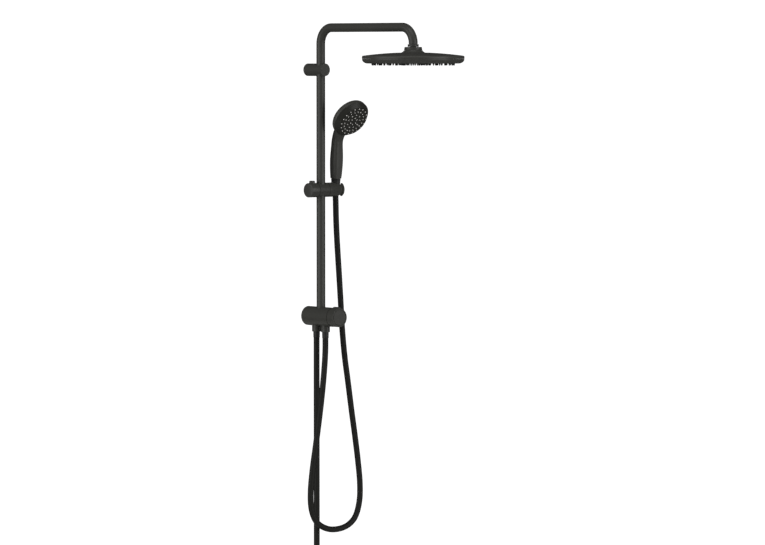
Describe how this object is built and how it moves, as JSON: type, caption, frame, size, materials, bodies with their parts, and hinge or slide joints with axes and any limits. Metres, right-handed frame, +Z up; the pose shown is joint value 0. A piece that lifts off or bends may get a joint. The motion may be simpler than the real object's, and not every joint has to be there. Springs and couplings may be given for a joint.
{
  "type": "rain shower column",
  "caption": "Wall-held riser with a swivelling arm and round overhead rose on a ball joint, a diverter at its foot, and a hand shower on a sliding, tilting holder with its hose.",
  "frame": {"origin": "centre of the lower wall plate's back face, on the wall", "axes": "+Z up along the column, -Y out from the wall towards the user, +X to the user's right when facing the wall"},
  "size_m": [0.2535, 0.52, 1.4862],
  "materials": {
    "black_coated_metal": "matte black powder coat on brass",
    "black_moulded_plastic": "matte black ABS",
    "rose_spray_rubber": "matte black silicone",
    "gloss_black_plastic": "gloss black ABS",
    "dark_hose_fitting": "satin black ABS",
    "grey_nozzle_silicone": "pale grey silicone",
    "smooth_hose_pvc": "smooth satin black PVC",
    "brass": "machined",
    "stainless_steel": "plain stainless steel",
    "seal_rubber": "moulded rubber",
    "pale_acetal": "moulded acetal"
  },
  "bodies": {
    "column": {"lower_wall_plate": "stainless_steel", "lower_plate_screw_left": "stainless_steel", "lower_plate_screw_right": "stainless_steel", "diverter_body": "black_coated_metal", "lower_grub_screw": "stainless_steel", "riser_o_ring": "seal_rubber", "inlet_nipple": "black_coated_metal", "outlet_nipple": "black_coated_metal", "diverter_cartridge": "pale_acetal", "cartridge_o_ring": "seal_rubber", "cartridge_nut": "brass", "riser_tube": "black_coated_metal", "swivel_spigot": "brass", "swivel_o_ring": "seal_rubber", "bracket_body": "black_coated_metal", "swivel_bush": "black_moulded_plastic", "bracket_grub_screw": "stainless_steel", "upper_wall_plate": "stainless_steel", "upper_plate_screw_left": "stainless_steel", "upper_plate_screw_right": "stainless_steel", "hand_hose": "smooth_hose_pvc", "outlet_nut": "black_coated_metal", "outlet_tail": "dark_hose_fitting", "outlet_washer": "seal_rubber", "inlet_nut": "black_coated_metal", "inlet_tail": "dark_hose_fitting", "inlet_washer": "seal_rubber", "supply_hose": "smooth_hose_pvc", "supply_end_nut": "black_coated_metal", "supply_end_tail": "dark_hose_fitting"},
    "knob": {"diverter_knob": "black_coated_metal", "knob_cap": "black_coated_metal", "knob_screw": "stainless_steel", "diverter_stem": "brass"},
    "arm": {"arm_pipe": "black_coated_metal", "ball_fitting": "black_coated_metal"},
    "rose_seat": {"ball_seat": "pale_acetal"},
    "rose": {"ball_nut": "black_coated_metal", "rose_cover": "black_moulded_plastic", "spray_ring": "black_moulded_plastic", "spray_face": "rose_spray_rubber", "water_plate": "black_moulded_plastic"},
    "slider": {"slider_body": "black_coated_metal", "slider_bush": "black_moulded_plastic", "slider_end": "black_coated_metal", "brake_pin": "pale_acetal", "button_spring": "stainless_steel", "tilt_screw": "stainless_steel"},
    "button": {"lock_button": "black_moulded_plastic"},
    "holder": {"handset_holder": "black_coated_metal", "tilt_washer": "pale_acetal"},
    "handset": {"handset_shell": "black_moulded_plastic", "face_ring": "gloss_black_plastic", "face_plate": "gloss_black_plastic", "handset_nozzle_mat": "grey_nozzle_silicone", "handset_water_plate": "black_moulded_plastic", "handset_nipple": "black_moulded_plastic", "handset_washer": "seal_rubber", "hand_hose_tail": "brass", "cone_nut": "dark_hose_fitting"}
  },
  "joints": [
    {"name": "arm_swivel", "type": "hinge", "parent": "column", "child": "arm", "pos_m": [0, -0.05, 0.617], "axis": [0, 0, 1], "range_deg": [-45, 45]},
    {"name": "rose_side_tilt", "type": "hinge", "parent": "arm", "child": "rose_seat", "pos_m": [0, -0.395, 0.664], "axis": [0, 1, 0], "range_deg": [-10, 10]},
    {"name": "rose_front_tilt", "type": "hinge", "parent": "rose_seat", "child": "rose", "pos_m": [0, -0.395, 0.664], "axis": [1, 0, 0], "range_deg": [-10, 10]},
    {"name": "slider_slide", "type": "slide", "parent": "column", "child": "slider", "axis": [0, 0, 1], "range_m": [-0.23, 0.15], "deforming": ["hand_hose"]},
    {"name": "lock_button_press", "type": "slide", "parent": "slider", "child": "button", "axis": [0, 0, -1], "range_m": [0, 0.0025], "stiffness_N_per_m": 1500, "springref_m": -0.002, "deforming": ["button_spring"]},
    {"name": "holder_tilt", "type": "hinge", "parent": "slider", "child": "holder", "pos_m": [0, -0.05, 0.3175], "axis": [1, 0, 0], "range_deg": [-5, 35]},
    {"name": "handset_turn", "type": "hinge", "parent": "holder", "child": "handset", "pos_m": [0.0485, -0.05, 0.3175], "axis": [0, -0.0523, 0.9986], "range_deg": [-10, 75]},
    {"name": "diverter_turn", "type": "hinge", "parent": "column", "child": "knob", "pos_m": [0, -0.11, 0], "axis": [0, 1, 0], "range_deg": [0, 180]}
  ]
}
